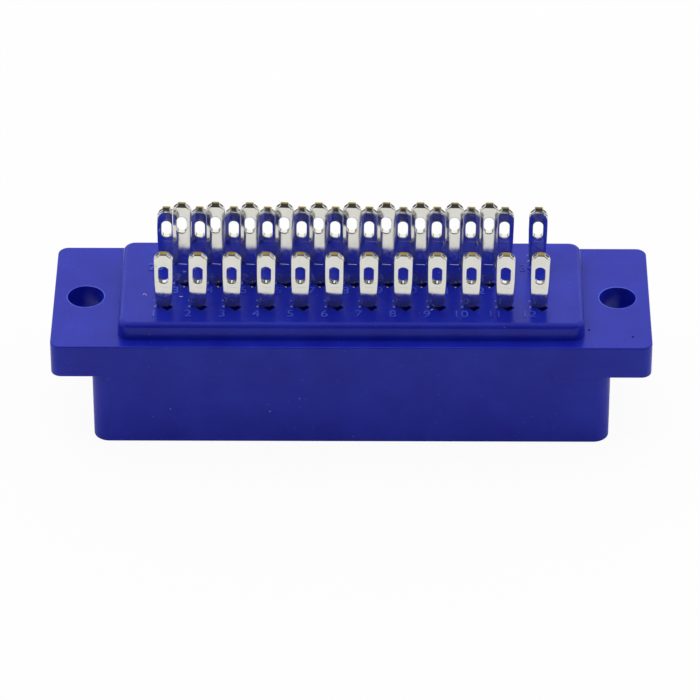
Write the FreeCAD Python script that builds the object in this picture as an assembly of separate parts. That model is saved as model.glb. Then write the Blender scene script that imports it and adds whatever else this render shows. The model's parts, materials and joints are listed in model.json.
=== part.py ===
import FreeCAD, Part
import math
import os

from FreeCAD import Placement, Rotation, Vector

# A rectangular plug for soldered wires: a one-piece moulded insulator with a flange, a raised
# tail plate and an open shroud, and flat blade contacts in three staggered rows.
# It stands on the rim of its shroud, tails up. X runs along the rows, Y across them, Z up,
# and the origin is the centre of the rim. All sizes are in millimetres.

# Contact field
PITCH = 2.6
ROW_SPACING = 3.1
OUTER_ROW_CONTACTS = 12
MIDDLE_ROW_CONTACTS = 10

# Contact, cut from flat strip
TAB_WIDTH = 1.45
STRIP_THICKNESS = 0.5
SHORT_TAB_HEIGHT = 4.9
LONG_TAB_HEIGHT = 7.4
TAB_TIP_WIDTH = 0.62
TAB_TIP_CHAMFER = 0.6
EYE_WIDTH = 0.75
EYE_LENGTH = 1.5
EYE_BELOW_TIP = 1.15
TWIST_HEIGHT = 1.6
TWIST_ANGLE = 45.0
SHANK_WIDTH = 0.58
BLADE_WIDTH = 1.06
SHOULDER_OVERHANG = 0.25
SHOULDER_HEIGHT = 0.7
BLADE_RECESS = 0.8
BLADE_TAPER = 0.9
BLADE_TIP_WIDTH = 0.55
BLADE_TIP_THICKNESS = 0.2

# Insulator walls, margins and heights
SLOT_CLEARANCE = 0.05
FLOOR_THICKNESS = 3.5
CAVITY_END_MARGIN = 2.9
CAVITY_SIDE_MARGIN = 1.9
CAVITY_CORNER_RADIUS = 0.8
MOUTH_CHAMFER = 0.35
SHROUD_END_WALL = 2.6
SHROUD_SIDE_WALL = 1.66
SHROUD_HEIGHT = 6.15
SHROUD_CORNER_RADIUS = 1.2
FLANGE_LEDGE = 0.05
FLANGE_THICKNESS = 2.75
FLANGE_CORNER_RADIUS = 0.8
FLANGE_EDGE_CHAMFER = 0.12
EAR_REACH = 2.45
SCREW_HOLE_OFFSET = 0.65
SCREW_HOLE_DIAMETER = 2.8
PLATE_END_MARGIN = 3.5
PLATE_SIDE_MARGIN = 2.63
PLATE_HEIGHT = 1.37
PLATE_DRAFT = 0.1
PLATE_CORNER_RADIUS = 0.9
PLATE_EDGE_CHAMFER = 0.25

# Sizes that follow from the ones above
field_length = (OUTER_ROW_CONTACTS - 1) * PITCH
field_depth = 2 * ROW_SPACING
cavity_length = field_length + 2 * CAVITY_END_MARGIN
cavity_depth = field_depth + 2 * CAVITY_SIDE_MARGIN
shroud_length = cavity_length + 2 * SHROUD_END_WALL
shroud_depth = cavity_depth + 2 * SHROUD_SIDE_WALL
flange_depth = shroud_depth + 2 * FLANGE_LEDGE
screw_hole_spacing = shroud_length + 2 * SCREW_HOLE_OFFSET
flange_length = screw_hole_spacing + 2 * EAR_REACH
plate_length = field_length + 2 * PLATE_END_MARGIN
plate_depth = field_depth + 2 * PLATE_SIDE_MARGIN
flange_top = SHROUD_HEIGHT + FLANGE_THICKNESS
plate_top = flange_top + PLATE_HEIGHT
cavity_floor = plate_top - FLOOR_THICKNESS
shank_back = -BLADE_WIDTH / 2
shank_front = shank_back + SHANK_WIDTH
up = Vector(0, 0, 1)


def contact_places():
    """Axis and tab height of each contact, in the order of their numbers: front, middle, rear."""
    start = -field_length / 2
    front = [(start + i * PITCH, -ROW_SPACING, SHORT_TAB_HEIGHT) for i in range(OUTER_ROW_CONTACTS)]
    middle = [(start + (i + 0.5) * PITCH, 0, LONG_TAB_HEIGHT) for i in range(MIDDLE_ROW_CONTACTS)]
    rear = [(x, -y, height) for x, y, height in front]
    return front + middle + rear


def rounded_block(length, depth, radius, z_low, z_high):
    """Block centred on the Z axis, with round upright edges."""
    height = z_high - z_low
    block = Part.makeBox(length, depth, height, Vector(-length / 2, -depth / 2, z_low))
    uprights = [edge for edge in block.Edges if edge.BoundBox.ZLength > height / 2]
    return block.makeFillet(radius, uprights)


def symmetric_prism(half_outline, thickness):
    """Prism across Y whose outline's right half is a list of (x, z) points from bottom to top."""
    right = [Vector(x, -thickness / 2, z) for x, z in half_outline]
    left = [Vector(-p.x, p.y, p.z) for p in reversed(right)]
    face = Part.Face(Part.makePolygon(right + left + right[:1]))
    return face.extrude(Vector(0, thickness, 0))


def crossed_prisms(front_half, side_half, reach):
    """Solid with one outline seen from the front and another seen from the side."""
    side = symmetric_prism(side_half, reach).rotated(Vector(), up, 90)
    return symmetric_prism(front_half, reach).common(side)


def strip_section(back, front, thickness, angle, z):
    """Closed wire of the strip's section between two sides, turned by an angle in degrees about the axis."""
    y = thickness / 2
    corners = [Vector(back, -y, 0), Vector(front, -y, 0), Vector(front, y, 0), Vector(back, y, 0)]
    turn = Placement(Vector(0, 0, z), Rotation(up, angle))
    return Part.makePolygon([turn.multVec(c) for c in corners + corners[:1]])


def blade():
    """Mating part of a contact: tapered blade, with a shoulder swaged out under the floor."""
    half = BLADE_WIDTH / 2
    shoulder = half + SHOULDER_OVERHANG
    taper_end = BLADE_RECESS + BLADE_TAPER
    front = [
        (BLADE_TIP_WIDTH / 2, BLADE_RECESS),
        (half, taper_end),
        (half, cavity_floor - SHOULDER_HEIGHT),
        (shoulder, cavity_floor - SHOULDER_HEIGHT),
        (shoulder, cavity_floor),
    ]
    side = [
        (BLADE_TIP_THICKNESS / 2, BLADE_RECESS),
        (STRIP_THICKNESS / 2, taper_end),
        (STRIP_THICKNESS / 2, cavity_floor),
    ]
    return crossed_prisms(front, side, 3 * shoulder).rotated(Vector(), up, -TWIST_ANGLE)


def shank():
    """Part of a contact inside the floor, against the back end of its slot."""
    foot = Part.Face(strip_section(shank_back, shank_front, STRIP_THICKNESS, -TWIST_ANGLE, cavity_floor))
    return foot.extrude(up * FLOOR_THICKNESS)


def twisted_neck():
    """Part of the tail just above the plate, where the strip widens and turns to lie along the row."""
    half = TAB_WIDTH / 2
    sections = []
    for rise in (0, 0.6, 1):
        # the back side flares out late, the notched front side at once
        back = shank_back - (half + shank_back) * rise**2
        front = shank_front + (half - shank_front) * rise**0.5
        angle, z = -TWIST_ANGLE * (1 - rise), plate_top + TWIST_HEIGHT * rise
        sections.append(strip_section(back, front, STRIP_THICKNESS, angle, z))
    return Part.makeLoft(sections, True, False)


def solder_tab(height):
    """Flat upper part of the tail, with its chamfered tip."""
    tip = plate_top + height
    outline = [
        (TAB_WIDTH / 2, plate_top + TWIST_HEIGHT),
        (TAB_WIDTH / 2, tip - TAB_TIP_CHAMFER),
        (TAB_TIP_WIDTH / 2, tip),
    ]
    return symmetric_prism(outline, STRIP_THICKNESS)


def wire_eye(height):
    """Cutter for the long hole that takes the wire, with half octagons for its ends."""
    half = EYE_WIDTH / 2
    flat = half * math.tan(math.pi / 8)
    top = plate_top + height - EYE_BELOW_TIP
    low = top - EYE_LENGTH
    outline = [(flat, low), (half, low + half - flat), (half, top - half + flat), (flat, top)]
    return symmetric_prism(outline, 2 * TAB_WIDTH)


def contact(height):
    """One contact about its own axis."""
    strip = blade().multiFuse([shank(), twisted_neck(), solder_tab(height)])
    return strip.cut(wire_eye(height)).removeSplitter()


def flange():
    slab = rounded_block(flange_length, flange_depth, FLANGE_CORNER_RADIUS, SHROUD_HEIGHT, flange_top)
    rim = [edge for edge in slab.Edges if edge.BoundBox.ZMin > flange_top - FLANGE_EDGE_CHAMFER]
    return slab.makeChamfer(FLANGE_EDGE_CHAMFER, rim)


def tail_plate():
    """Raised plate that the tails stand on, with drafted walls, round corners and a bevelled rim."""
    front = [(plate_length / 2, flange_top), (plate_length / 2 - PLATE_DRAFT, plate_top)]
    side = [(plate_depth / 2, flange_top), (plate_depth / 2 - PLATE_DRAFT, plate_top)]
    block = crossed_prisms(front, side, plate_length + plate_depth)
    corners = [edge for edge in block.Edges if edge.BoundBox.ZLength > PLATE_HEIGHT / 2]
    block = block.makeFillet(PLATE_CORNER_RADIUS, corners)
    rim = [edge for edge in block.Edges if edge.BoundBox.ZMin > plate_top - PLATE_HEIGHT / 2]
    return block.makeChamfer(PLATE_EDGE_CHAMFER, rim)


def cavity():
    """Inside of the shroud, where the mating socket goes, with a chamfered mouth."""
    space = rounded_block(cavity_length, cavity_depth, CAVITY_CORNER_RADIUS, 0, cavity_floor)
    mouth = rounded_block(
        cavity_length + 2 * MOUTH_CHAMFER,
        cavity_depth + 2 * MOUTH_CHAMFER,
        CAVITY_CORNER_RADIUS + MOUTH_CHAMFER,
        -MOUTH_CHAMFER,
        MOUTH_CHAMFER,
    )
    inner_edges = [edge for edge in mouth.Edges if edge.BoundBox.ZMin > 0]
    return space.fuse(mouth.makeChamfer(MOUTH_CHAMFER, inner_edges))


def screw_holes():
    """The two flange holes, which run on down the shroud's ends as half-round grooves."""
    r, x = SCREW_HOLE_DIAMETER / 2, screw_hole_spacing / 2
    return [Part.makeCylinder(r, flange_top, Vector(side * x, 0, 0)) for side in (-1, 1)]


def contact_slots():
    """Slots through the floor, set across the rows at the angle of the blades."""
    end, thickness = BLADE_WIDTH / 2 + SLOT_CLEARANCE, STRIP_THICKNESS + 2 * SLOT_CLEARANCE
    mouth = Part.Face(strip_section(-end, end, thickness, -TWIST_ANGLE, cavity_floor))
    slot = mouth.extrude(up * FLOOR_THICKNESS)
    return [slot.translated(Vector(x, y, 0)) for x, y, _ in contact_places()]


def insulator():
    """The whole moulding: flange, tail plate and shroud, with everything that is cut from them."""
    shroud = rounded_block(shroud_length, shroud_depth, SHROUD_CORNER_RADIUS, 0, SHROUD_HEIGHT)
    body = flange().multiFuse([shroud, tail_plate()]).removeSplitter()
    return body.cut([cavity(), *screw_holes(), *contact_slots()])


def write(name, shape):
    shape.exportStep(os.path.join("parts", name + ".step"))


def main():
    os.makedirs("parts", exist_ok=True)
    write("insulator", insulator())
    patterns = {height: contact(height) for height in (SHORT_TAB_HEIGHT, LONG_TAB_HEIGHT)}
    for number, (x, y, height) in enumerate(contact_places(), 1):
        write(f"contact_{number:02d}", patterns[height].translated(Vector(x, y, 0)))


main()
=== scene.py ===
import json
import math
import random

import bmesh
import bpy
from mathutils import Matrix, Vector


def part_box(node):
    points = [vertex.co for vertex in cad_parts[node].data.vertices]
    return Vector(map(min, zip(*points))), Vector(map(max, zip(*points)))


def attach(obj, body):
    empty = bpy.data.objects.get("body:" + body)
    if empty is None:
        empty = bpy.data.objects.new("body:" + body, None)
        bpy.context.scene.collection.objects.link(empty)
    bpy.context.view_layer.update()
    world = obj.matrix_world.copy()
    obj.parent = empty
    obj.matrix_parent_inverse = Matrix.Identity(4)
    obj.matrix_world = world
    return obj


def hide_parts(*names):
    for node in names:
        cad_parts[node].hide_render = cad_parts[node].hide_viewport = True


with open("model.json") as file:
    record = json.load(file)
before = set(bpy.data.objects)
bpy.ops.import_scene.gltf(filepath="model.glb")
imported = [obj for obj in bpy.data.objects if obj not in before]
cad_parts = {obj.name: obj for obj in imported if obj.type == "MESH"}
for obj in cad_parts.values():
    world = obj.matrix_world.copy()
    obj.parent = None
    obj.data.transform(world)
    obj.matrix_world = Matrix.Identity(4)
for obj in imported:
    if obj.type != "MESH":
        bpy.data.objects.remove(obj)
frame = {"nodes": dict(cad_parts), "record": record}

# A rectangular plug for soldered wires, tails up. Pieces are modelled in millimetres and brought
# to metres when they are finished.
mm = 0.001
near = 1e-4                                          # closer than this is the same place
cutSlack = 1e-6                                      # points this near to a cutting plane lie on it
uprightFrom, acrossFrom = 0.8, 0.99                  # least share of an edge's run; sloping walls count
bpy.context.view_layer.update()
mounts = {mount["name"]: mount for mount in frame["record"]["mounts"]}
screws = mounts["flange_screws"]
bodyLow, bodyHigh = (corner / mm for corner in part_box("insulator"))
rimLevel = bodyLow.z
seatLevel = mounts["panel_seat"]["pos_m"][2] / mm    # underside of the flange
flangeLevel = screws["pos_m"][2] / mm
plateLevel = bodyHigh.z                              # the tails come out here
contactNodes = sorted(name for name in frame["nodes"] if name.startswith("contact_"))


def contactPlace(node):
    # where it leaves the plate, and how far it runs above and below
    low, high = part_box(node)
    middle = (low + high) / 2 / mm
    return Vector((middle.x, middle.y, plateLevel)), high.z / mm - plateLevel, plateLevel - low.z / mm


def rowLine(node):
    return round(contactPlace(node)[0].y, 2)


rowLines = sorted({rowLine(node) for node in contactNodes})   # front, middle and rear
print("frame: plate at", round(plateLevel, 3), "mm,", len(contactNodes), "contacts")


# Ways of working

def deselect():
    if bpy.context.mode != "OBJECT":
        bpy.ops.object.mode_set(mode="OBJECT")
    bpy.ops.object.select_all(action="DESELECT")


def activate(piece):
    deselect()
    piece.select_set(True)
    bpy.context.view_layer.objects.active = piece


def addBox(name, low, high):
    deselect()
    low, high = Vector(low), Vector(high)
    bpy.ops.mesh.primitive_cube_add(size=1, location=(low + high) / 2)
    box = bpy.context.object
    box.name = name
    box.scale = high - low
    bpy.ops.object.transform_apply(location=True, rotation=True, scale=True)
    return box


def pick(piece, kind, test):
    # edit mode with only the points, edges or faces that pass the test selected
    activate(piece)
    bpy.ops.object.mode_set(mode="EDIT")
    bpy.ops.mesh.select_mode(type=kind)
    bpy.ops.mesh.select_all(action="DESELECT")
    mesh = bmesh.from_edit_mesh(piece.data)
    for part in {"VERT": mesh.verts, "EDGE": mesh.edges, "FACE": mesh.faces}[kind]:
        if test(part):
            part.select_set(True)
    bmesh.update_edit_mesh(piece.data)


def pickAll(piece):
    activate(piece)
    bpy.ops.object.mode_set(mode="EDIT")
    bpy.ops.mesh.select_all(action="SELECT")


def stopEditing():
    bpy.ops.object.mode_set(mode="OBJECT")


def directionOf(edge):
    return (edge.verts[1].co - edge.verts[0].co).normalized()


def isUpright(edge):
    return abs(directionOf(edge).z) > uprightFrom


def isAcross(edge):
    return abs(directionOf(edge).y) > acrossFrom


def liesAt(height):
    return lambda part: all(abs(vert.co.z - height) < near for vert in part.verts)


def bevelEdges(piece, test, width, steps):
    pick(piece, "EDGE", test)
    bpy.ops.mesh.bevel(offset=width, segments=steps, affect="EDGES")
    stopEditing()


def growFace(piece, height, rise, scale=(1, 1), slide=0):
    # extrudes the flat end at that height, and widens or narrows it about the upright axis
    pick(piece, "FACE", liesAt(height))
    bpy.ops.mesh.extrude_region_move(TRANSFORM_OT_translate={"value": (slide, 0, rise)})
    bpy.ops.transform.resize(value=(scale[0], scale[1], 1), center_override=(0, 0, height + rise))
    stopEditing()


def cutAcross(piece, point, normal, trim=False):
    # a ring of new edges, or a flat end with what lies beyond it trimmed off
    pickAll(piece)
    bpy.ops.mesh.bisect(
        plane_co=point, plane_no=normal, use_fill=trim, clear_outer=trim, threshold=cutSlack
    )
    stopEditing()


def combine(piece, other, operation):
    activate(piece)
    bpy.ops.object.modifier_add(type="BOOLEAN")
    step = piece.modifiers[-1]
    step.operation = operation
    step.solver = "EXACT"
    step.object = other
    bpy.ops.object.modifier_apply(modifier=step.name)
    bpy.data.objects.remove(other)


def copyTo(piece, name, place, turn=(0, 0, 0)):
    activate(piece)
    bpy.ops.object.duplicate(linked=False)
    copy = bpy.context.object
    copy.name = name
    copy.location = place
    copy.rotation_euler = turn
    return copy


def joinAll(pieces):
    activate(pieces[0])
    for piece in pieces:
        piece.select_set(True)
    bpy.ops.object.join()
    return pieces[0]


def smoothFaces(piece, angle):
    activate(piece)
    bpy.ops.object.shade_smooth_by_angle(angle=math.radians(angle))
    bpy.ops.object.modifier_add(type="WEIGHTED_NORMAL")
    step = piece.modifiers[-1]
    step.keep_sharp = True
    step.weight = 100
    bpy.ops.object.modifier_apply(modifier=step.name)


def handOver(piece, nodes=()):
    # to metres, with its place in its mesh, on the part's one body
    activate(piece)
    piece.location = piece.location * mm
    piece.scale = piece.scale * mm
    bpy.ops.object.transform_apply(location=True, rotation=True, scale=True)
    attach(piece, "root")
    if nodes:
        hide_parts(*nodes)


# Finishes

def startMaterial(name):
    material = bpy.data.materials.new(name)
    material.use_nodes = True
    return material, material.node_tree.nodes["Principled BSDF"]


def addNode(material, kind, links=(), **settings):
    tree = material.node_tree
    node = tree.nodes.new(kind)
    for key, value in settings.items():
        setattr(node, key, value)
    for socket, source in links:
        if isinstance(source, bpy.types.NodeSocket):
            tree.links.new(source, node.inputs[socket])
        else:
            node.inputs[socket].default_value = source
    return node


def millimetres(material, scale=(1, 1, 1)):
    # the piece's own coordinates, in millimetres
    coordinates = addNode(material, "ShaderNodeTexCoord")
    stretch = [share / mm for share in scale]
    links = [("Vector", coordinates.outputs["Object"]), ("Scale", stretch)]
    return addNode(material, "ShaderNodeMapping", links).outputs["Vector"]


def noise(material, place, pattern):
    # the pattern is its scale, detail and roughness
    links = [("Vector", place), *zip(("Scale", "Detail", "Roughness"), pattern)]
    return addNode(material, "ShaderNodeTexNoise", links).outputs["Fac"]


def spread(material, value, low, high, start=0.0, end=1.0):
    links = [("Value", value), ("From Min", low), ("From Max", high), ("To Min", start), ("To Max", end)]
    return addNode(material, "ShaderNodeMapRange", links).outputs["Result"]


def mottle(material, place, pattern, start=0.0, end=1.0):
    # noise, spread over the levels that end the pattern
    return spread(material, noise(material, place, pattern[:3]), *pattern[3:], start, end)


def calculate(material, operation, first, second):
    return addNode(material, "ShaderNodeMath", [(0, first), (1, second)], operation=operation).outputs[0]


def times(material, first, second):
    return calculate(material, "MULTIPLY", first, second)


def blendColours(material, share, first, second):
    node = addNode(material, "ShaderNodeMix", data_type="RGBA")
    tree = material.node_tree
    sockets = [socket for socket in node.inputs if socket.type == "RGBA"]
    tree.links.new(share, node.inputs[0])
    for socket, colour in zip(sockets, (first, second)):
        if isinstance(colour, bpy.types.NodeSocket):
            tree.links.new(colour, socket)
        else:
            socket.default_value = (*colour, 1)
    return [socket for socket in node.outputs if socket.type == "RGBA"][0]


def addBump(material, shader, place, pattern, depth, strength):
    height = noise(material, place, pattern)
    links = [("Height", height), ("Distance", depth * mm), ("Strength", strength)]
    bump = addNode(material, "ShaderNodeBump", links)
    material.node_tree.links.new(bump.outputs["Normal"], shader.inputs["Normal"])


# a mottled pattern is its scale, detail and roughness, and the levels of noise that it runs between
plasticLook = {
    "deepBlue": (0.009, 0.0155, 0.40),
    "paleBlue": (0.013, 0.025, 0.47),
    "cloud": (0.35, 4, 0.5, 0.32, 0.68),
    "dust": (0.42, 0.46, 0.70),
    "speckScale": 1.1,
    "speckRadius": (0.035, 0.055),  # where a speck starts to fade, and where it ends
    "speckPatch": (0.5, 2, 0.5, 0.57, 0.65),
    "gloss": (0.19, 0.28),          # roughness, from the shiniest to the dullest patches
    "rub": (2.6, 5, 0.6, 0.3, 0.7),
    "grain": (9, 4, 0.6),
    "grainBump": (0.004, 0.35),     # height of the moulded skin in mm, and strength
    "bend": 1.33,                   # index of refraction
}


def makePlastic():
    look = plasticLook
    material, shader = startMaterial("blueMoulding")
    place = millimetres(material)
    blue = blendColours(material, mottle(material, place, look["cloud"]), look["deepBlue"], look["paleBlue"])
    cells = addNode(material, "ShaderNodeTexVoronoi", [("Vector", place), ("Scale", look["speckScale"])])
    speck = spread(material, cells.outputs["Distance"], *look["speckRadius"], 1, 0)
    fleck = times(material, speck, mottle(material, place, look["speckPatch"]))
    links = material.node_tree.links
    links.new(blendColours(material, fleck, blue, look["dust"]), shader.inputs["Base Color"])
    links.new(mottle(material, place, look["rub"], *look["gloss"]), shader.inputs["Roughness"])
    addBump(material, shader, place, look["grain"], *look["grainBump"])
    shader.inputs["IOR"].default_value = look["bend"]
    return material


# raised numbers and hole rings: a lighter blue than the moulding, partly wear and partly a painted highlight
# on their strokes and rims
markLook = {
    "colour": (0.03, 0.048, 0.58),
    "wornAndHighlight": (0.08, 0.13, 0.78),
    "wear": (0.5, 4, 0.5, 0.38, 0.62),
    "grain": (14, 3, 0.5),
    "grainBump": (0.004, 0.4),
    "roughness": 0.3,
}


def makeMarkPlastic():
    look = markLook
    material, shader = startMaterial("rubbedHighlightMoulding")
    place = millimetres(material)
    colour = blendColours(material, mottle(material, place, look["wear"]), look["colour"], look["wornAndHighlight"])
    material.node_tree.links.new(colour, shader.inputs["Base Color"])
    addBump(material, shader, place, look["grain"], *look["grainBump"])
    shader.inputs["Roughness"].default_value = look["roughness"]
    shader.inputs["IOR"].default_value = plasticLook["bend"]
    return material


tinLook = {
    "clean": (0.85, 0.846, 0.79),
    "dull": (0.80, 0.79, 0.722),
    "haze": (1.3, 5, 0.6, 0.35, 0.7),
    "tarnish": (0.36, 0.27, 0.15),
    "stain": (0.9, 5, 0.65, 0.66, 0.76),
    "stainMost": 0.7,
    "foot": (0.52, 0.53, 0.50),     # painted shade: darker near the plate
    "footShadeRise": (0.5, 1.3),         # heights above the plate between which that fades
    "footShadeBloom": 0.08,              # and how much of it no longer mirrors
    "polish": (0.07, 0.14),         # roughness
    "rub": (3.2, 4, 0.5, 0.3, 0.7),
    "ripple": (1.6, 2, 0.5),
    "rippleBump": (0.004, 0.25),
}


def makeTin():
    look = tinLook
    material, shader = startMaterial("tinnedStrip")
    place = millimetres(material)
    metal = blendColours(material, mottle(material, place, look["haze"]), look["clean"], look["dull"])
    stain = mottle(material, place, look["stain"], 0, look["stainMost"])
    metal = blendColours(material, stain, metal, look["tarnish"])
    height = addNode(material, "ShaderNodeSeparateXYZ", [("Vector", place)]).outputs["Z"]
    # painted shade: towards the plate the tin turns darker and mirrors less
    foot = spread(material, height, *(plateLevel + rise for rise in look["footShadeRise"]), 1, 0)
    links = material.node_tree.links
    links.new(blendColours(material, foot, metal, look["foot"]), shader.inputs["Base Color"])
    links.new(spread(material, foot, 0, 1, 1, 1 - look["footShadeBloom"]), shader.inputs["Metallic"])
    links.new(mottle(material, place, look["rub"], *look["polish"]), shader.inputs["Roughness"])
    addBump(material, shader, place, look["ripple"], *look["rippleBump"])
    return material


brassLook = {
    "bright": (0.36, 0.265, 0.055),
    "brown": (0.25, 0.165, 0.035),
    "age": (1.7, 3, 0.5, 0.35, 0.7),
    "drag": (1, 3, 0.5),
    "dragStretch": (9, 1.5, 1.5),   # lines drawn across the strip by the cut
    "dragBump": (0.01, 0.4),
    "roughness": 0.34,
}


def makeBrass():
    look = brassLook
    material, shader = startMaterial("cutBrass")
    place = millimetres(material)
    colour = blendColours(material, mottle(material, place, look["age"]), look["bright"], look["brown"])
    material.node_tree.links.new(colour, shader.inputs["Base Color"])
    addBump(material, shader, millimetres(material, look["dragStretch"]), look["drag"], *look["dragBump"])
    shader.inputs["Metallic"].default_value = 1
    shader.inputs["Roughness"].default_value = look["roughness"]
    return material


plastic, markAndHighlightPlastic, tin, brass = makePlastic(), makeMarkPlastic(), makeTin(), makeBrass()
print("finishes made")


# Insulator: flange, shroud and tail plate in one moulding

insulator = {
    "flangeCorner": 0.8,
    "flangeEdge": 0.12,
    "seatEdge": 0.04,
    "seatEdgeSteps": 2,
    "shroud": (39.6, 13.32),
    "shroudCorner": 1.2,
    "rimEdge": 0.08,
    "plateFoot": (35.6, 11.46),
    "plateTop": (35.4, 11.26),
    "plateCorner": 0.9,
    "plateEdge": 0.38,
    "plateEdgeSteps": 6,
    "cornerSteps": 8,
    "edgeSteps": 3,
    "overlap": 0.5,                # how far the blocks run into each other before they are joined
    "cavity": (34.4, 10.0),
    "cavityFloor": 6.77,
    "cavityCorner": 0.8,
    "floorEdge": 0.3,
    "mouthFlare": 0.35,
    "holeSides": 64,
    "holeRing": (0.09, 0.012),     # width and depth of the rubbed ring round a hole, coloured lighter as a painted highlight on its rim
    "ringSlope": (0.9, 0.999),     # how level the ring's faces are
    "slotReach": (-0.6, 0.57),     # along the slot, from the contact's axis
    "slotSides": (-0.3, 0.36),     # across it
    "slotFlare": 0.1,              # at its two ends
    "slotTurn": -45,
    "pits": ((18.12, -4.29), (21.43, -5.19)),   # pinholes in the right ear
    "pit": (0.1, 0.1, 0.16),
    "clear": 1.0,                  # how far a cutter stands out of what it cuts
    "smoothTo": 35,                # degrees between faces that still shade as one
}


def addGrain(place, size, turn=0):
    deselect()
    bpy.ops.mesh.primitive_ico_sphere_add(subdivisions=2, radius=1, location=place)
    grain = bpy.context.object
    grain.scale = size
    grain.rotation_euler.z = math.radians(turn)
    bpy.ops.object.transform_apply(location=True, rotation=True, scale=True)
    return grain


def makeBlock(name, size, corner, low, high):
    block = addBox(name, (-size[0] / 2, -size[1] / 2, low), (size[0] / 2, size[1] / 2, high))
    bevelEdges(block, isUpright, corner, insulator["cornerSteps"])
    return block


def makeFlange():
    size = bodyHigh - bodyLow
    block = makeBlock("flange", (size.x, size.y), insulator["flangeCorner"], seatLevel, flangeLevel)
    bevelEdges(block, liesAt(flangeLevel), insulator["flangeEdge"], insulator["edgeSteps"])
    bevelEdges(block, liesAt(seatLevel), insulator["seatEdge"], insulator["seatEdgeSteps"])
    return block


def makeShroud():
    spec = insulator
    block = makeBlock("shroud", spec["shroud"], spec["shroudCorner"], rimLevel, seatLevel + spec["overlap"])
    bevelEdges(block, liesAt(rimLevel), spec["rimEdge"], spec["edgeSteps"])
    return block


def makeTailPlate():
    # the walls slope in, and run on down into the flange
    spec = insulator
    run = 1 + spec["overlap"] / (plateLevel - flangeLevel)
    foot = [top + (foot - top) * run for foot, top in zip(spec["plateFoot"], spec["plateTop"])]
    low = flangeLevel - spec["overlap"]
    block = addBox("plate", (-foot[0] / 2, -foot[1] / 2, low), (foot[0] / 2, foot[1] / 2, plateLevel))
    pick(block, "FACE", liesAt(plateLevel))
    shares = [top / wide for top, wide in zip(spec["plateTop"], foot)]
    bpy.ops.transform.resize(value=(shares[0], shares[1], 1))
    stopEditing()
    bevelEdges(block, isUpright, spec["plateCorner"], spec["cornerSteps"])
    bevelEdges(block, liesAt(plateLevel), spec["plateEdge"], spec["plateEdgeSteps"])
    return block


def makeCavityCutter():
    spec = insulator
    flare = spec["mouthFlare"]
    cutter = makeBlock("cavity", spec["cavity"], spec["cavityCorner"], rimLevel + flare, spec["cavityFloor"])
    bevelEdges(cutter, liesAt(spec["cavityFloor"]), spec["floorEdge"], spec["edgeSteps"])
    growth = [1 + 2 * flare / side for side in spec["cavity"]]
    growFace(cutter, rimLevel + flare, -flare, growth)
    growFace(cutter, rimLevel, -spec["clear"])
    return cutter


def makeHoleCutter(side):
    # a screw hole that runs on down the shroud's end as a groove
    spec = insulator
    radius = screws["dims"]["hole_r_mm"]
    wide, deep = spec["holeRing"]
    low, high = rimLevel - spec["clear"], flangeLevel - deep
    deselect()
    bpy.ops.mesh.primitive_cylinder_add(
        vertices=spec["holeSides"], radius=radius, depth=high - low, location=(0, 0, (low + high) / 2)
    )
    cutter = bpy.context.object
    bpy.ops.object.transform_apply(location=True, rotation=True, scale=True)
    growFace(cutter, high, deep, [1 + wide / radius] * 2)
    growFace(cutter, flangeLevel, spec["clear"])
    cutter.location.x = side * screws["dims"]["spacing_x_mm"] / 2
    return cutter


def makeSlotCutter():
    spec = insulator
    (start, end), (front, back) = spec["slotReach"], spec["slotSides"]
    flare = spec["slotFlare"]
    low, high = spec["cavityFloor"] - spec["clear"], plateLevel - flare
    cutter = addBox("slots", (start, front, low), (end, back, high))
    pick(cutter, "FACE", liesAt(high))
    bpy.ops.mesh.extrude_region_move(TRANSFORM_OT_translate={"value": (0, 0, flare)})
    growth = (1 + 2 * flare / (end - start), 1, 1)
    bpy.ops.transform.resize(value=growth, center_override=((start + end) / 2, 0, plateLevel))
    stopEditing()
    growFace(cutter, plateLevel, spec["clear"])
    return cutter


def markHoleRings(body):
    wide, deep = insulator["holeRing"]
    steepest, flattest = insulator["ringSlope"]
    radius = screws["dims"]["hole_r_mm"] + wide
    away = screws["dims"]["spacing_x_mm"] / 2

    def isRing(face):
        middle = face.calc_center_median()
        atHole = math.hypot(abs(middle.x) - away, middle.y) < radius
        return atHole and steepest < face.normal.z < flattest and middle.z > flangeLevel - 2 * deep

    # the ring takes the lighter plastic: rubbed, and a painted highlight on the rim
    pick(body, "FACE", isRing)
    body.active_material_index = 1
    bpy.ops.object.material_slot_assign()
    stopEditing()


def makeInsulator():
    body = makeFlange()
    combine(body, makeShroud(), "UNION")
    combine(body, makeTailPlate(), "UNION")
    combine(body, makeCavityCutter(), "DIFFERENCE")
    for side in (-1, 1):
        combine(body, makeHoleCutter(side), "DIFFERENCE")
    pits = [addGrain((x, y, flangeLevel), insulator["pit"]) for x, y in insulator["pits"]]
    combine(body, joinAll(pits), "DIFFERENCE")
    pattern = makeSlotCutter()
    turn = (0, 0, math.radians(insulator["slotTurn"]))
    cutters = []
    for node in contactNodes:
        place = contactPlace(node)[0]
        cutters.append(copyTo(pattern, "slotCutter", (place.x, place.y, 0), turn))
    bpy.data.objects.remove(pattern)
    combine(body, joinAll(cutters), "DIFFERENCE")
    body.name = "insulatorMoulding"
    body.data.materials.clear()
    for material in (plastic, markAndHighlightPlastic):
        body.data.materials.append(material)
    markHoleRings(body)
    smoothFaces(body, insulator["smoothTo"])
    handOver(body, ["insulator"])


makeInsulator()
print("insulator made")


# Contacts: tinned strip with a wire eye, twisted where it leaves the plate

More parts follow.
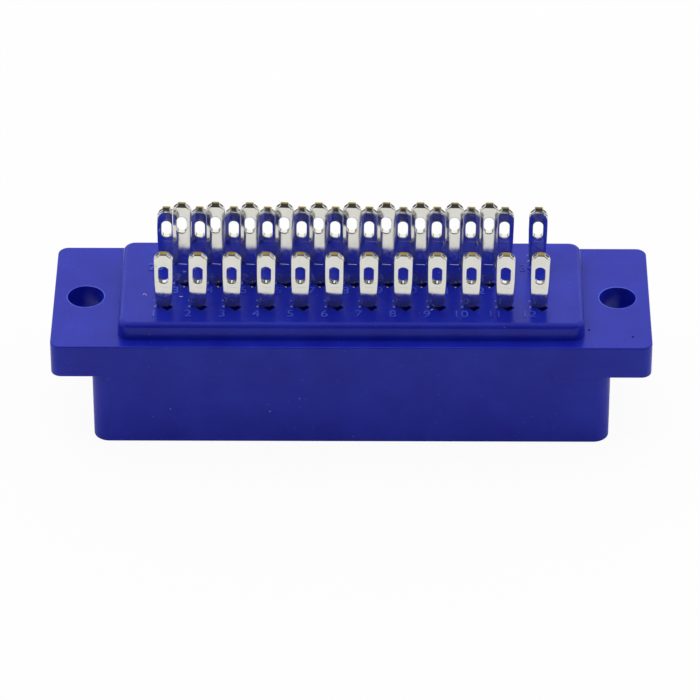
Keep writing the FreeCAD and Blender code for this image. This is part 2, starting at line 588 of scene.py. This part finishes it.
contact = {
    "width": 1.45,
    "thickness": 0.5,
    "sides": (                     # height above the plate, back side and front side of the foot there
        (0, -0.57, 0.05),
        (0.06, -0.572, 0.2),
        (0.13, -0.576, 0.38),
        (0.22, -0.59, 0.55),       # the heel is cut away below this
        (0.36, -0.615, 0.62),
        (0.6, -0.645, 0.66),
        (0.9, -0.665, 0.68),
        (1.4, -0.69, 0.70),
        (1.9, -0.70, 0.71),
        (2.4, -0.715, 0.72),
        (2.9, -0.725, 0.725),
    ),
    "twists": (                    # share of the foot's turn, and the heights where it starts and ends
        (0.5, -0.35, 0.2),
        (0.5, -0.25, 0.36),
    ),
    "twistCuts": 8,
    "leanFrom": 0.5,
    "bladeTurn": -45,
    "tailTurn": (-3, -2, -2),      # front row, middle row, rear row
    "leanBack": (1.2, 0.6, 1.5),
    "leanRight": 0.7,
    "unevenness": (0.35, 0.35, 1.2),   # most degrees about each axis
    "draw": 34,                    # seed of the unevenness
    "crown": ((0.22, 0.983), (0.44, 0.955)),   # thickness left beyond these lines, as a share
    "crownFrom": 0.3,
    "crownSlack": 0.01,            # points nearer to a line than this stay with it
    "edge": 0.09,                  # coined edges of the strip
    "edgeSteps": 7,
    "sharpFrom": 0.7,              # radians between the faces of an edge that is coined
    "nose": 0.6,                   # height of the oval end
    "noseFlats": (6, 18, 30, 42),  # where its flats touch the oval, degrees
    "coin": ((0.05, 0.02), (0.16, 0.04), (0.17, 0.15)),   # width of the band along its top and its sides
    "coinFrom": 0.2,               # flats steeper than this have no band
    "coinSlope": (17, 17, 13),
    "stub": ((0.06, 0.36), (0.13, 0.2), (0.2, 0.2)),   # rise and thickness of what is left of the carrier
    "stubShare": 0.93,             # its top's width, over its foot's
    "eye": (0.75, 1.44),
    "eyeBelowTip": 1.26,
    "eyeSteps": 10,
    "eyeSlack": 0.001,             # keeps its two half rounds from meeting
    "eyeEdge": 0.06,
    "eyeEdgeSteps": 2,
    "pressMark": (0.66, 1.85),     # width and height of the tool's line
    "pressPlace": 0.07,
    "pressRise": (0.006, 0.011, 0.002),
    "pressTurn": (25, 2, 0),
    "shoulder": 1.56,
    "shoulderRise": 0.7,
    "shoulderSlope": 0.08,
    "blade": 1.06,
    "bladeTip": (0.55, 0.2),
    "bladeTaper": 0.9,
    "spare": (0.11, 0.1, 0.11),    # how far the tips stay under the solid ones
    "smoothTo": 12,
}


def shapeFoot(blank):
    # narrow above the slot, with a heel cut away on the front side
    half = contact["width"] / 2
    for height, *_ in contact["sides"][1:]:
        cutAcross(blank, (0, 0, height), (0, 0, 1))
    for height, back, front in contact["sides"]:
        for side, shift in ((-1, half + back), (1, front - half)):
            pick(blank, "VERT", lambda vert: abs(vert.co.z - height) < near and vert.co.x * side > half / 2)
            bpy.ops.transform.translate(value=(shift, 0, 0))
            stopEditing()


def addBlade(blank, floor, low):
    # shank in the slot, shoulder under the floor, then the blade with its thin narrow end
    spec = contact
    back, front = spec["sides"][0][1:]
    slope = spec["shoulderSlope"]
    taper = low + spec["bladeTaper"]
    tip = spec["bladeTip"]
    growFace(blank, 0, floor)
    growFace(blank, floor, -slope, (spec["shoulder"] / (front - back), 1), -(back + front) / 2)
    growFace(blank, floor - slope, 2 * slope - spec["shoulderRise"])
    growFace(blank, floor + slope - spec["shoulderRise"], -slope, (spec["blade"] / spec["shoulder"], 1))
    growFace(blank, floor - spec["shoulderRise"], taper - floor + spec["shoulderRise"])
    growFace(blank, taper, low - taper, (tip[0] / spec["blade"], tip[1] / spec["thickness"]))


def cutNose(blank, top, coin, slope):
    # an oval end with a flat top, and a band pressed along its edge on both faces
    reach, half = contact["nose"], contact["width"] / 2
    flats = [(Vector((0, 0, top)), Vector((0, 0, 1)), coin[0])]
    for side in (-1, 1):
        for degrees in contact["noseFlats"]:
            turn = math.radians(degrees)
            point = Vector((side * half * math.cos(turn), 0, top - reach + reach * math.sin(turn)))
            normal = Vector((side * math.cos(turn) / half, 0, math.sin(turn) / reach)).normalized()
            cutAcross(blank, point, normal, trim=True)
            flats.append((point, normal, coin[1]))
    for point, normal, wide in flats:
        if normal.z < contact["coinFrom"]:
            continue
        for side in (-1, 1):
            outward = Vector((0, side, 0))
            edge = point - wide * normal + outward * contact["thickness"] / 2
            cutAcross(blank, edge, math.sin(slope) * normal + math.cos(slope) * outward, trim=True)


def crownFaces(blank):
    # the tail's flat sides fall away a little towards its edges
    foot, slack = contact["crownFrom"], contact["crownSlack"]
    for line, _ in contact["crown"]:
        for side in (-1, 1):
            pick(blank, "FACE", lambda face: all(vert.co.z > -near for vert in face.verts))
            bpy.ops.mesh.bisect(plane_co=(side * line, 0, 0), plane_no=(1, 0, 0), threshold=cutSlack)
            stopEditing()
    for line, share in contact["crown"]:
        pick(blank, "VERT", lambda vert: abs(vert.co.x) > line + slack and vert.co.z > foot)
        bpy.ops.transform.resize(value=(1, share, 1), center_override=(0, 0, 0))
        stopEditing()


def roundEdges(blank, top):
    def isSharp(edge):
        heights = [vert.co.z for vert in edge.verts]
        isCoined = edge.calc_face_angle(0) > contact["sharpFrom"]
        return isCoined and max(heights) > near and min(heights) < top - near

    bevelEdges(blank, isSharp, contact["edge"], contact["edgeSteps"])


def makeEyeCutter(middle):
    wide, long = contact["eye"]
    reach = contact["thickness"]
    cutter = addBox("eye", (-wide / 2, -reach, middle - long / 2), (wide / 2, reach, middle + long / 2))
    bevelEdges(cutter, isAcross, wide / 2 - contact["eyeSlack"], contact["eyeSteps"])
    return cutter


def makePressMark(deep):
    # the press tool's raised line on the front face
    wide, height = contact["pressMark"]
    ridge = addBox("mark", (-wide / 2, -deep, -deep), (wide / 2, deep, deep))
    ridge.location = (contact["pressPlace"], -contact["thickness"] / 2, height)
    ridge.rotation_euler = [math.radians(turn) for turn in contact["pressTurn"]]
    return ridge


def softenEye(blank, middle):
    reach = [size / 2 + contact["eyeSlack"] for size in contact["eye"]]

    def isRim(edge):
        ends = [vert.co for vert in edge.verts]
        inside = all(abs(end.x) < reach[0] and abs(end.z - middle) < reach[1] for end in ends)
        return inside and not isAcross(edge) and edge.calc_face_angle(0) > contact["sharpFrom"]

    bevelEdges(blank, isRim, contact["eyeEdge"], contact["eyeEdgeSteps"])


def bareTop(blank, high):
    # the cut that parted it from its carrier shows the brass under the tin
    blank.data.materials.clear()
    for material in (tin, brass):
        blank.data.materials.append(material)
    pick(blank, "FACE", liesAt(high))
    blank.active_material_index = 1
    bpy.ops.object.material_slot_assign()
    stopEditing()


def slideUp(blank, rise):
    pickAll(blank)
    bpy.ops.transform.translate(value=(0, 0, rise))
    stopEditing()


def twist(blank, angle, start, end):
    # what is above the end stays straight, because the strip turns about its origin there
    for cut in range(contact["twistCuts"] + 1):
        cutAcross(blank, (0, 0, start + (end - start) * cut / contact["twistCuts"]), (0, 0, 1))
    slideUp(blank, -end)
    heights = [vert.co.z for vert in blank.data.vertices]
    low, high = min(heights), max(heights)
    activate(blank)
    bpy.ops.object.modifier_add(type="SIMPLE_DEFORM")
    step = blank.modifiers[-1]
    step.deform_method = "TWIST"
    step.deform_axis = "Z"
    step.angle = math.radians(angle)
    step.limits = ((start - end - low) / (high - low), -low / (high - low))
    bpy.ops.object.modifier_apply(modifier=step.name)
    slideUp(blank, end)


def leanTail(blank, axis, angle):
    foot = contact["leanFrom"]
    pick(blank, "VERT", lambda vert: vert.co.z > foot + near)
    bpy.ops.transform.rotate(value=math.radians(angle), orient_axis=axis, center_override=(0, 0, foot))
    stopEditing()


def makeContactPattern(row, tail, depth):
    # heights are taken from the plate
    spec = contact
    high = tail - spec["spare"][row]
    rise, thin = spec["stub"][row]
    coin, slope = spec["coin"][row], math.radians(spec["coinSlope"][row])
    top = high - rise
    half = Vector((spec["width"] / 2, spec["thickness"] / 2))
    blank = addBox("pattern", (-half.x, -half.y, 0), (half.x, half.y, top))
    cutNose(blank, top, coin, slope)
    shapeFoot(blank)
    roundEdges(blank, top)
    crownFaces(blank)
    left = spec["thickness"] - 2 * coin[0] * math.tan(slope)
    growFace(blank, top, rise, (spec["stubShare"], thin / left))
    addBlade(blank, insulator["cavityFloor"] - plateLevel, -depth)
    eye = tail - spec["eyeBelowTip"] - spec["eye"][1] / 2
    combine(blank, makePressMark(spec["pressRise"][row]), "UNION")
    combine(blank, makeEyeCutter(eye), "DIFFERENCE")
    softenEye(blank, eye)
    bareTop(blank, high)
    turn = spec["tailTurn"][row] - spec["bladeTurn"]
    for share, start, end in spec["twists"]:
        twist(blank, turn * share, start, end)
    leanTail(blank, "X", spec["leanBack"][row])
    leanTail(blank, "Y", -spec["leanRight"])
    smoothFaces(blank, spec["smoothTo"])
    return blank


def makeContacts():
    draw = random.Random(contact["draw"])
    patterns = {}
    for node in contactNodes:
        place, tail, depth = contactPlace(node)
        row = rowLines.index(rowLine(node))
        if row not in patterns:
            patterns[row] = makeContactPattern(row, tail, depth)
        turn = [math.radians(draw.uniform(-most, most)) for most in contact["unevenness"]]
        turn[2] += math.radians(contact["tailTurn"][row])
        piece = copyTo(patterns[row], "solder" + node.capitalize(), place, turn)
        handOver(piece, [node])
    for pattern in patterns.values():
        bpy.data.objects.remove(pattern)


makeContacts()
print("contacts made")


# Position numbers, raised on the plate in front of each contact

numbers = {
    "height": 0.9,
    "heightShare": 0.73,           # a digit's height, over the size of its font
    "rise": 0.05,
    "strokeGrowth": -0.003,        # a little thinner than the font's
    "ahead": 1.15,                 # in front of the contact's axis
    "left": (0.75, 0.78),          # beside the axis, with one digit and with two
    "smoothTo": 30,
}


def makeNumbers():
    spec = numbers
    labels = []
    for count, node in enumerate(contactNodes, 1):
        place = contactPlace(node)[0]
        text = str(count)
        deselect()
        bpy.ops.object.text_add()
        label = bpy.context.object
        label.data.body = text
        label.data.size = spec["height"] / spec["heightShare"]
        label.data.align_x = "CENTER"
        label.data.align_y = "CENTER"
        label.data.offset = spec["strokeGrowth"]
        label.data.extrude = spec["rise"]
        bpy.ops.object.convert(target="MESH")
        label = bpy.context.object
        label.location = (place.x - spec["left"][len(text) - 1], place.y - spec["ahead"], plateLevel)
        bpy.ops.object.transform_apply(location=True, rotation=True, scale=True)
        labels.append(label)
    marks = joinAll(labels)
    marks.name = "positionNumbers"
    smoothFaces(marks, spec["smoothTo"])
    marks.data.materials.clear()
    # lighter than the plate: wear, and a painted highlight on the raised strokes
    marks.data.materials.append(markAndHighlightPlastic)
    handOver(marks)


makeNumbers()
print("numbers made")


# Nicks, glints and pips: whitened spots where the moulding was knocked, a painted glint at each slot of the
# middle row, and the small raised marks its mould left, coloured pale blue as painted highlights

nicksAndHighlights = {
    # white of the knocked spots, and also of the painted glints at the middle-row slots
    "white": (0.66, 0.70, 0.88),
    # pale blue of the pips: a painted highlight
    "blue": (0.17, 0.23, 0.85),
    "roughness": 0.35,
    "rise": 0.03,
    "sunk": 0.01,                  # what is left of them under the plate's surface
    "pips": ((-0.715, 0.66, 0.06), (-0.64, -0.13, 0.11)),   # beside each contact, with their radii; their pale blue is a painted highlight
    "slotGlint": (0.165, -0.615, 0.08, 0.06),   # place and half size of a painted glint, a small raised burr coloured white, at each slot of the middle row
    "single": (                    # place, half length, half width and turn
        (-13.03, -1.95, 0.17, 0.035, 0),
        (6.14, -3.59, 0.15, 0.035, 35),
        (-15.92, -1.64, 0.14, 0.025, 70),
        (-15.75, -1.67, 0.2, 0.025, -57),
    ),
    "smoothTo": 60,
}


def makeNickPlastic(name, colour):
    material, shader = startMaterial(name)
    shader.inputs["Base Color"].default_value = (*colour, 1)
    shader.inputs["Roughness"].default_value = nicksAndHighlights["roughness"]
    return material


def makeNicks():
    spec = nicksAndHighlights
    white = makeNickPlastic("whitenedAndGlintMoulding", spec["white"])
    blue = makeNickPlastic("pipHighlightMoulding", spec["blue"])
    x, y, long, wide = spec["slotGlint"]
    spots = [(*spot, white) for spot in spec["single"]]
    for node in contactNodes:
        place = contactPlace(node)[0]
        # a painted glint at the front corner of each middle-row slot
        if rowLine(node) == rowLines[1]:
            spots.append((place.x + x, place.y + y, long, wide, 0, white))
        # raised pips, coloured pale blue as painted highlights
        spots += [(place.x + left, place.y + back, size, size, 0, blue) for left, back, size in spec["pips"]]
    grains = []
    for across, along, long, wide, turn, material in spots:
        grain = addGrain((across, along, plateLevel), (long, wide, spec["rise"]), turn)
        grain.data.materials.append(material)
        grains.append(grain)
    piece = joinAll(grains)
    piece.name = "plateNicksAndHighlights"
    cutAcross(piece, (0, 0, plateLevel - spec["sunk"]), (0, 0, -1), trim=True)
    smoothFaces(piece, spec["smoothTo"])
    handOver(piece)


makeNicks()
print("nicks made")


# Floor, light and camera

stage = {
    "floor": (0.15, 0.062),        # reach to the sides and back, and to the front
    "floorLevel": -0.00002,        # just clear of the rim
    "floorColour": (0.9, 0.9, 0.895),
    "floorRoughness": 0.9,
    "seenShare": 0.94,             # how much of the floor's white is its own, to the camera
    "mirroredShare": 0.1,          # and in reflections
    "sky": 1.05,
    "dimShare": 0.85,              # how much of the darkness counts for dull surfaces
    "darkness": 0.05,              # strength of the dim patch in front and the dim line at the horizon
    "darkTop": (60, 0.1),          # degrees above the horizon, and how softly it ends
    "darkWide": (70, 0.15),        # degrees from straight ahead
    "darkLine": (6, 0.04),         # degrees above the horizon, all round
    "lamp": (0.7, 1.2),            # size and power of the softbox
    "lampPlace": (-0.1, 0.5, 0.62),   # high behind
}


def makeFloor():
    reach, front = stage["floor"]
    deselect()
    bpy.ops.mesh.primitive_plane_add(size=1, location=(0, (reach - front) / 2, stage["floorLevel"]))
    floor = bpy.context.object
    floor.name = "floor"
    floor.scale = (2 * reach, reach + front, 1)
    bpy.ops.object.transform_apply(location=True, rotation=True, scale=True)
    material, shader = startMaterial("paleFloor")
    shader.inputs["Base Color"].default_value = (*stage["floorColour"], 1)
    shader.inputs["Roughness"].default_value = stage["floorRoughness"]
    shader.inputs["Specular IOR Level"].default_value = 0
    path = addNode(material, "ShaderNodeLightPath").outputs
    seen = times(material, path["Is Camera Ray"], stage["seenShare"])
    mirrored = times(material, path["Is Glossy Ray"], stage["mirroredShare"])
    through = times(material, path["Is Transmission Ray"], stage["mirroredShare"])
    share = calculate(material, "ADD", calculate(material, "ADD", seen, mirrored), through)
    glow = addNode(material, "ShaderNodeEmission", [("Color", (1, 1, 1, 1)), ("Strength", 1)])
    mix = addNode(
        material,
        "ShaderNodeMixShader",
        [(0, share), (1, shader.outputs["BSDF"]), (2, glow.outputs["Emission"])],
    )
    output = material.node_tree.nodes["Material Output"]
    material.node_tree.links.new(mix.outputs["Shader"], output.inputs["Surface"])
    floor.data.materials.append(material)


def dimUpTo(world, value, degrees, softness):
    # 1 below that height above the horizon, and 0 above it
    level = math.sin(math.radians(degrees))
    return spread(world, value, level - softness, level + softness, 1, 0)


def makeSky():
    # pale all round, with a dim patch low in front and a dim line at the horizon
    world = bpy.data.worlds.new("paleRoom")
    world.use_nodes = True
    bpy.context.scene.world = world
    direction = addNode(world, "ShaderNodeTexCoord").outputs["Generated"]
    parts = addNode(world, "ShaderNodeSeparateXYZ", [("Vector", direction)]).outputs
    degrees, softness = stage["darkWide"]
    reach = math.cos(math.radians(degrees))
    front = spread(world, times(world, parts["Y"], -1.0), reach - softness, reach + softness)
    patch = times(world, front, dimUpTo(world, parts["Z"], *stage["darkTop"]))
    dim = calculate(world, "MAXIMUM", patch, dimUpTo(world, parts["Z"], *stage["darkLine"]))
    path = addNode(world, "ShaderNodeLightPath").outputs
    dim = times(world, dim, spread(world, path["Is Diffuse Ray"], 0, 1, 1, stage["dimShare"]))
    strength = spread(world, dim, 0, 1, stage["sky"], stage["darkness"])
    links = [(0, path["Is Camera Ray"]), (2, strength), (3, 1.0)]
    shown = addNode(world, "ShaderNodeMix", links, data_type="FLOAT")
    background = world.node_tree.nodes["Background"]
    background.inputs["Color"].default_value = (1, 1, 1, 1)
    world.node_tree.links.new(shown.outputs[0], background.inputs["Strength"])


def makeLamp():
    size, power = stage["lamp"]
    deselect()
    place = Vector(stage["lampPlace"])
    bpy.ops.object.light_add(type="AREA", location=place)
    lamp = bpy.context.object
    lamp.data.shape = "DISK"
    lamp.data.size = size
    lamp.data.energy = power
    lamp.visible_glossy = False
    lamp.rotation_euler = (-place).to_track_quat("-Z", "Y").to_euler()


camera = {
    "imageSide": 700,              # pixels
    "focal": 4961.8,               # pixels
    "sensor": 36.0,
    "height": 35.62,               # degrees above the floor
    "swing": 0.4146,               # degrees round from straight ahead
    "roll": -0.0934,
    "distance": 384.67,
    "target": (-0.131, 0.0, 3.895),
    "clip": (0.01, 20),
}


def makeCamera():
    spec = camera
    rise, swing, roll = (math.radians(spec[key]) for key in ("height", "swing", "roll"))
    back = Vector((math.sin(swing) * math.cos(rise), -math.cos(swing) * math.cos(rise), math.sin(rise)))
    right = Vector((math.cos(swing), math.sin(swing), 0))
    up = back.cross(right)
    across = math.cos(roll) * right + math.sin(roll) * up
    upwards = math.cos(roll) * up - math.sin(roll) * right
    deselect()
    bpy.ops.object.camera_add()
    view = bpy.context.object
    turn = Matrix((across, upwards, back)).transposed().to_4x4()
    eye = (Vector(spec["target"]) + back * spec["distance"]) * mm
    view.matrix_world = Matrix.Translation(eye) @ turn
    view.data.sensor_width = spec["sensor"]
    view.data.lens = spec["sensor"] * spec["focal"] / spec["imageSide"]
    view.data.clip_start, view.data.clip_end = spec["clip"]
    bpy.context.scene.camera = view


makeFloor()
makeSky()
makeLamp()
makeCamera()
bpy.context.scene.view_settings.view_transform = "Standard"
print("floor, light and camera set")
